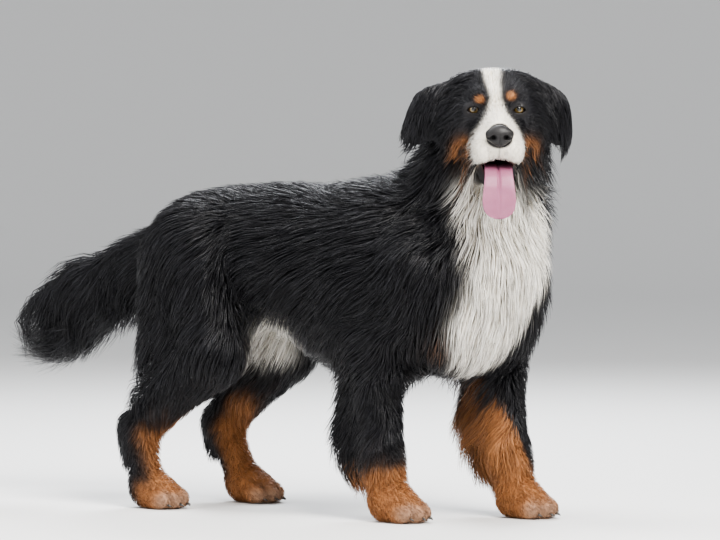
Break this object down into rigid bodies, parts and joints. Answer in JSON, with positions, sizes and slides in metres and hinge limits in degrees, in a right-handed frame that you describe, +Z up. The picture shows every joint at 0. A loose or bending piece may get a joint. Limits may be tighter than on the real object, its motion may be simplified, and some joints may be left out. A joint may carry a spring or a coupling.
{
  "type": "standing bernese mountain dog, life-size still model",
  "caption": "Life-size tricolour mountain dog standing square on four paws, head turned to its right, mouth open and tongue out, low plumed tail.",
  "frame": {"origin": "middle of the dog's outline seen from above, at the floor under its paws", "axes": "+X the way the body faces, +Y the dog's left, +Z up"},
  "size_m": [1.3362, 0.415, 0.8953],
  "materials": {
    "coat": "long glossy hair, jet black with white blaze, muzzle and chest and rust-brown brows, cheeks and lower legs",
    "eye": "wet and clear, hazel iris with a dark pupil",
    "nose_and_claws": "dark grey, pebbled and slightly moist on the nose, horn on the claws",
    "tongue": "moist pink mauve with a groove along its middle"
  },
  "bodies": {
    "root": {"head": "coat", "lower_jaw": "coat", "neck": "coat", "chest": "coat", "barrel": "coat", "hips": "coat", "tail_base": "coat", "tail_tip": "coat", "right_ear": "coat", "left_ear": "coat", "right_upper_arm": "coat", "right_forearm": "coat", "right_fore_paw": "coat", "right_thigh": "coat", "right_lower_leg": "coat", "right_hock": "coat", "right_hind_paw": "coat", "left_upper_arm": "coat", "left_forearm": "coat", "left_fore_paw": "coat", "left_thigh": "coat", "left_lower_leg": "coat", "left_hock": "coat", "left_hind_paw": "coat", "right_eye": "eye", "left_eye": "eye", "nose": "nose_and_claws", "tongue": "tongue"}
  },
  "joints": []
}
